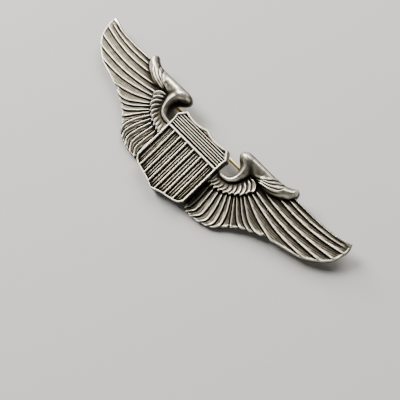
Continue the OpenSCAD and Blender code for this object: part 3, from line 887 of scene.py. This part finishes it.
class Shield:
    @staticmethod
    def depth(points):
        return depth_inside(points, SHIELD_OUTLINE)

    @staticmethod
    def drop(points):
        return np.zeros(len(points))

    @staticmethod
    def bottom(points):
        return np.full(len(points), SEAT_Z)

    def relief(self, points):
        edge = self.depth(points)
        x, y = points[:, 0], points[:, 1]
        crossbar = ridge(y - sum(CROSSBAR_Y) / 2, CROSSBAR_HALF_W, BAR_H)
        peak = PEAK_H * ramp(y, *PEAK_Y) * (np.abs(x) < PEAK_HALF_W)
        half_border = np.where(y > TOP_BORDER_Y, TOP_BORDER_W, BORDER_W) / 2
        border = ridge(edge - half_border, half_border + BORDER_SPREAD, FIELD_DEPTH)
        above = np.where(y > CROSSBAR_Y[1], chief_lines(y), 0)
        below = np.where(y < CROSSBAR_Y[0], bars(x), 0)
        z = SHIELD_H - FIELD_DEPTH + np.maximum.reduce([above, below, crossbar, peak, border])
        rim = SHIELD_H - SHIELD_EDGE_H * (1 - rounded(edge / SHIELD_EDGE_W))
        return np.where(edge < half_border, rim, z)


# ---------------------------------------------------------------- the struck pieces
WING_PITCH = 0.08
WING_LOW = (0, -8.4)
WING_HIGH = (38.9, 12.3)
SHIELD_PITCH = 0.065
SHIELD_LOW = (-8, -10.4)
SHIELD_HIGH = (8, 8)


def build_wings():
    place, faces, values = relief_plate(Wing(), WING_LOW, WING_HIGH, WING_PITCH)
    wings = []
    for name, node, mirrored in (("feathered_wing_right", "right_wing", False),
                                 ("feathered_wing_left", "left_wing", True)):
        wing = new_piece(name, place, faces, values, mirrored)
        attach(wing, "badge")
        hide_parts(node)
        wings.append(wing)
    return wings


def build_shield():
    place, faces, values = relief_plate(Shield(), SHIELD_LOW, SHIELD_HIGH, SHIELD_PITCH, wall_rows=8)
    shield = new_piece("ridged_shield", place, faces, values)
    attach(shield, "badge")
    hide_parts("shield")
    return shield


# ---------------------------------------------------------------- materials
def new_material(name):
    material = bpy.data.materials.new(name)
    material.use_nodes = True
    tree = material.node_tree
    return material, tree, tree.nodes["Principled BSDF"]


def new_node(tree, kind, **settings):
    made = tree.nodes.new(kind)
    for key, value in settings.items():
        setattr(made, key, value)
    return made


def noise(tree, scale, stretch=(1, 1, 1)):
    """Noise in millimetres of the object, optionally stretched along an axis."""
    coords = new_node(tree, "ShaderNodeTexCoord")
    mapping = new_node(tree, "ShaderNodeMapping")
    mapping.inputs["Scale"].default_value = [factor / MM for factor in stretch]
    texture = new_node(tree, "ShaderNodeTexNoise")
    texture.inputs["Scale"].default_value = scale
    texture.inputs["Detail"].default_value = 4.0
    tree.links.new(coords.outputs["Object"], mapping.inputs["Vector"])
    tree.links.new(mapping.outputs["Vector"], texture.inputs["Vector"])
    return texture.outputs["Fac"]


def maths(tree, operation, a, b, clamp=False):
    """Math node of two inputs, each a number or a socket."""
    made = new_node(tree, "ShaderNodeMath", operation=operation, use_clamp=clamp)
    for socket, value in zip(made.inputs, (a, b)):
        if isinstance(value, (int, float)):
            socket.default_value = value
        else:
            tree.links.new(value, socket)
    return made.outputs[0]


def color_ramp(tree, factor, stops):
    made = new_node(tree, "ShaderNodeValToRGB")
    elements = made.color_ramp.elements
    while len(elements) < len(stops):
        elements.new(0.5)
    for element, (position, color) in zip(elements, stops):
        element.position = position
        element.color = (*color, 1)
    tree.links.new(factor, made.inputs["Fac"])
    return made.outputs["Color"]


def point_value(tree, name):
    return new_node(tree, "ShaderNodeAttribute", attribute_name=name).outputs["Fac"]


def add_bump(tree, shader, heights):
    """heights: (height socket, distance in metres, strength) from the coarsest to the finest."""
    normal = None
    for height, distance, strength in heights:
        bump = new_node(tree, "ShaderNodeBump")
        bump.inputs["Distance"].default_value = distance
        bump.inputs["Strength"].default_value = strength
        tree.links.new(height, bump.inputs["Height"])
        if normal is not None:
            tree.links.new(normal, bump.inputs["Normal"])
        normal = bump.outputs["Normal"]
    tree.links.new(normal, shader.inputs["Normal"])


# Wear and oxide of the silver, with painted shade: what the relief's point values and a mottle add to its
# middle value; the ramp's dark end is oxide and painted shade
CAVITY_WEAR = 1.7
BROAD_WEAR_AND_SHADE = 1.2
MOTTLE_WEAR = 0.35
MIDDLE_WEAR = 0.52
OXIDE_AND_SHADE_TO_SILVER = [
    (0.0, (0.012, 0.010, 0.008)), (0.2, (0.032, 0.027, 0.020)), (0.34, (0.07, 0.061, 0.046)),
    (0.46, (0.095, 0.084, 0.063)), (0.62, (0.27, 0.248, 0.195)), (0.9, (0.92, 0.88, 0.76))]
OXIDE_ROUGHNESS = 0.48
WORN_SMOOTHER = 0.14


def antique_silver(name):
    """Silver with dark oxide in every hollow, rubbed bright on the raised rims, and painted shade on steep
    slopes, on the side walls and in the broad hollows beside the tall ridges.
    """
    material, tree, shader = new_material(name)
    from_cavity = maths(tree, "MULTIPLY", point_value(tree, "cavity"), CAVITY_WEAR)
    from_broad = maths(tree, "MULTIPLY", point_value(tree, "broad"), BROAD_WEAR_AND_SHADE)
    mottle = maths(tree, "SUBTRACT", noise(tree, 0.9), 0.5)
    # This value carries oxide and wear, and also the painted shade of the walls, the steep slopes and the
    # broad hollows
    wear_and_shade = maths(tree, "ADD", from_cavity, from_broad)
    wear_and_shade = maths(tree, "ADD", wear_and_shade, maths(tree, "MULTIPLY", mottle, MOTTLE_WEAR))
    wear_and_shade = maths(tree, "ADD", wear_and_shade, MIDDLE_WEAR, clamp=True)
    tree.links.new(color_ramp(tree, wear_and_shade, OXIDE_AND_SHADE_TO_SILVER), shader.inputs["Base Color"])
    shader.inputs["Metallic"].default_value = 1.0
    rough = maths(tree, "SUBTRACT", OXIDE_ROUGHNESS, maths(tree, "MULTIPLY", wear_and_shade, WORN_SMOOTHER))
    tree.links.new(rough, shader.inputs["Roughness"])
    add_bump(tree, shader, [(noise(tree, 2.5), 0.02 * MM, 0.4), (noise(tree, 7.0), 0.005 * MM, 0.4)])
    return material


DULL_SHARE = 0.7          # how much of its colour a plain metal keeps where it is dull
ROUGHNESS_SPREAD = 0.2


def plain_metal(name, color, roughness):
    """Metal with a cloudy tone and faint drawn lines."""
    material, tree, shader = new_material(name)
    shader.inputs["Metallic"].default_value = 1.0
    dull = [DULL_SHARE * channel for channel in color]
    tone = color_ramp(tree, noise(tree, 0.8), [(0.3, dull), (0.7, color)])
    tree.links.new(tone, shader.inputs["Base Color"])
    spread = maths(tree, "MULTIPLY", noise(tree, 1.7), ROUGHNESS_SPREAD)
    rough = maths(tree, "ADD", spread, roughness - ROUGHNESS_SPREAD / 2)
    tree.links.new(rough, shader.inputs["Roughness"])
    add_bump(tree, shader, [(noise(tree, 3.0, stretch=(0.15, 1, 1)), 0.02 * MM, 0.5)])
    return material


def paint_fittings():
    """The small CAD pieces keep their exact shapes and get their metals."""
    brass = plain_metal("satin_brass", (0.72, 0.55, 0.26), 0.34)
    wire = plain_metal("bright_brass_wire", (1.0, 0.80, 0.36), 0.42)
    steel = plain_metal("satin_steel", (0.55, 0.55, 0.55), 0.35)
    nickel = plain_metal("nickel_plate", (0.70, 0.68, 0.64), 0.24)
    metals = {"hinge_patch": brass, "hinge_bracket": brass, "catch_patch": brass, "catch_housing": brass,
              "pin_stem": wire, "hinge_rivet": steel, "catch_roller": nickel}
    for name, metal in metals.items():
        mesh = bpy.data.objects[name].data
        mesh.materials.clear()
        mesh.materials.append(metal)


# ---------------------------------------------------------------- stage, light and camera
# The camera's place and directions in the badge's plane
CAMERA_AT = Vector((55.45, -3.91, 141.53))
VIEW_BACK = Vector((0.3103, 0.0014, 0.9506))
PHOTO_UP = Vector((-0.6818, 0.6973, 0.2215))

FLOOR_HALF = 1.5
FLOOR_COLOR = (0.56, 0.556, 0.546, 1)

# The studio's pale walls and its dimmer ceiling
WALL_LIGHT = (0.20, 0.198, 0.194)
CEILING_LIGHT = (0.12, 0.118, 0.115)

# Soft lamps that face the badge: direction in its plane, distance and size in metres, power in watts
LAMPS = {"key": ((-0.25, 0.74, 0.58), 0.55, 0.38, 2.9),
         "upper_left": ((-0.66, 0.10, 0.75), 0.6, 0.26, 5.2),
         "low_left": ((-0.90, 0.15, 0.35), 0.55, 0.20, 2.0)}
LAMP_COLOR = (1.0, 0.97, 0.92)


def add_camera():
    right = PHOTO_UP.cross(VIEW_BACK).normalized()
    back = VIEW_BACK.normalized()
    up = back.cross(right)
    turn = Matrix((right, up, back)).transposed().to_4x4()
    lean = BADGE.to_quaternion().to_matrix().to_4x4()
    data = bpy.data.cameras.new("camera")
    data.lens = 63
    data.sensor_width = 36
    data.clip_start = 0.005
    data.clip_end = 5
    camera = bpy.data.objects.new("camera", data)
    bpy.context.scene.collection.objects.link(camera)
    camera.matrix_world = Matrix.Translation(BADGE @ CAMERA_AT) @ lean @ turn
    bpy.context.scene.camera = camera


def add_floor():
    mesh = bpy.data.meshes.new("floor")
    corners = [(FLOOR_HALF * x, FLOOR_HALF * y, 0) for x, y in ((-1, -1), (1, -1), (1, 1), (-1, 1))]
    mesh.from_pydata(corners, [], [(0, 1, 2, 3)])
    floor = bpy.data.objects.new("floor", mesh)
    bpy.context.scene.collection.objects.link(floor)
    material, _, shader = new_material("pale_floor")
    shader.inputs["Base Color"].default_value = FLOOR_COLOR
    shader.inputs["Roughness"].default_value = 0.85
    mesh.materials.append(material)


def add_world():
    """Light from all round, told apart by its height over the horizon."""
    world = bpy.data.worlds.new("world")
    bpy.context.scene.world = world
    world.use_nodes = True
    tree = world.node_tree
    direction = new_node(tree, "ShaderNodeTexCoord").outputs["Generated"]
    parts = new_node(tree, "ShaderNodeSeparateXYZ")
    tree.links.new(direction, parts.inputs["Vector"])
    color = color_ramp(tree, parts.outputs["Z"], [(0.0, WALL_LIGHT), (0.45, CEILING_LIGHT)])
    tree.links.new(color, tree.nodes["Background"].inputs["Color"])


def add_lamps():
    for name, (direction, distance, size, power) in LAMPS.items():
        data = bpy.data.lights.new(name, "AREA")
        data.size = size
        data.energy = power
        data.color = LAMP_COLOR
        lamp = bpy.data.objects.new(name, data)
        bpy.context.scene.collection.objects.link(lamp)
        lamp.location = (BADGE.to_3x3() @ Vector(direction)).normalized() * distance
        lamp.rotation_euler = (-lamp.location).to_track_quat("-Z", "Y").to_euler()


add_camera()
add_floor()
add_world()
add_lamps()
paint_fittings()
wing_silver = antique_silver("antique_silver_feathers")
for piece in build_wings():
    piece.data.materials.append(wing_silver)
build_shield().data.materials.append(antique_silver("antique_silver_shield"))
